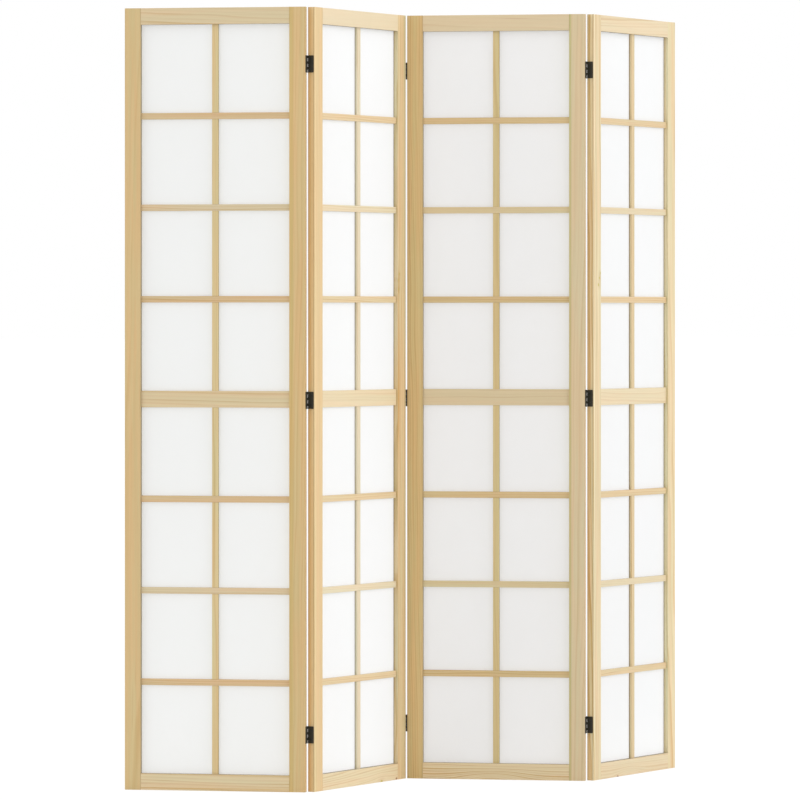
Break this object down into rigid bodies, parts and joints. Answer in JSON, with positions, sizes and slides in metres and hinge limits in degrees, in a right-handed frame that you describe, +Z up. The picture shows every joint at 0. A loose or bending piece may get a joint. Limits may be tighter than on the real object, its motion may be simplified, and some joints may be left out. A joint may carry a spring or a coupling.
{
  "type": "shoji folding screen",
  "caption": "Free-standing folding screen of pine-framed paper panels with a half-lapped lattice, joined by black butt hinges so that it folds flat in a zig-zag.",
  "frame": {"origin": "on the floor, in the middle of the footprint of the screen as it stands half folded", "axes": "+Z up; +X along the row of panels, from panel 1 to panel 4; -Y is the side that the panels' fronts face"},
  "size_m": [1.3548, 0.2426, 1.7],
  "materials": {
    "stile_pine": "pale pine, upright grain, planed and clear matt",
    "rail_pine": "pale pine, level grain, planed and clear matt",
    "lattice_pine": "pale pine, planed and clear matt",
    "pane_paper": "matt white, lets light through",
    "hinge_black": "black, satin, worn a little on the knuckles",
    "pin_black": "black, satin"
  },
  "bodies": {
    "panel_1": {"panel_1_stile_left": "stile_pine", "panel_1_stile_right": "stile_pine", "panel_1_top_rail": "rail_pine", "panel_1_bottom_rail": "rail_pine", "panel_1_middle_rail": "lattice_pine", "panel_1_lattice": "lattice_pine", "panel_1_paper": "pane_paper", "hinge_12_top_leaf_1": "hinge_black", "hinge_12_top_pin": "pin_black", "hinge_12_middle_leaf_1": "hinge_black", "hinge_12_middle_pin": "pin_black", "hinge_12_bottom_leaf_1": "hinge_black", "hinge_12_bottom_pin": "pin_black"},
    "panel_2": {"panel_2_stile_left": "stile_pine", "panel_2_stile_right": "stile_pine", "panel_2_top_rail": "rail_pine", "panel_2_bottom_rail": "rail_pine", "panel_2_middle_rail": "lattice_pine", "panel_2_lattice": "lattice_pine", "panel_2_paper": "pane_paper", "hinge_12_top_leaf_2": "hinge_black", "hinge_12_middle_leaf_2": "hinge_black", "hinge_12_bottom_leaf_2": "hinge_black", "hinge_23_top_leaf_2": "hinge_black", "hinge_23_top_pin": "pin_black", "hinge_23_middle_leaf_2": "hinge_black", "hinge_23_middle_pin": "pin_black", "hinge_23_bottom_leaf_2": "hinge_black", "hinge_23_bottom_pin": "pin_black"},
    "panel_3": {"panel_3_stile_left": "stile_pine", "panel_3_stile_right": "stile_pine", "panel_3_top_rail": "rail_pine", "panel_3_bottom_rail": "rail_pine", "panel_3_middle_rail": "lattice_pine", "panel_3_lattice": "lattice_pine", "panel_3_paper": "pane_paper", "hinge_23_top_leaf_3": "hinge_black", "hinge_23_middle_leaf_3": "hinge_black", "hinge_23_bottom_leaf_3": "hinge_black", "hinge_34_top_leaf_3": "hinge_black", "hinge_34_top_pin": "pin_black", "hinge_34_middle_leaf_3": "hinge_black", "hinge_34_middle_pin": "pin_black", "hinge_34_bottom_leaf_3": "hinge_black", "hinge_34_bottom_pin": "pin_black"},
    "panel_4": {"panel_4_stile_left": "stile_pine", "panel_4_stile_right": "stile_pine", "panel_4_top_rail": "rail_pine", "panel_4_bottom_rail": "rail_pine", "panel_4_middle_rail": "lattice_pine", "panel_4_lattice": "lattice_pine", "panel_4_paper": "pane_paper", "hinge_34_top_leaf_4": "hinge_black", "hinge_34_middle_leaf_4": "hinge_black", "hinge_34_bottom_leaf_4": "hinge_black"}
  },
  "joints": [
    {"name": "fold_12", "type": "hinge", "parent": "panel_2", "child": "panel_1", "pos_m": [-0.33961, -0.10822, 0.85], "axis": [0, 0, 1], "range_deg": [-109.8, 70.2]},
    {"name": "fold_23", "type": "hinge", "parent": "panel_2", "child": "panel_3", "pos_m": [0, 0.10822, 0.85], "axis": [0, 0, 1], "range_deg": [-109.8, 70.2]},
    {"name": "fold_34", "type": "hinge", "parent": "panel_3", "child": "panel_4", "pos_m": [0.33961, -0.10822, 0.85], "axis": [0, 0, 1], "range_deg": [-70.2, 109.8]}
  ]
}
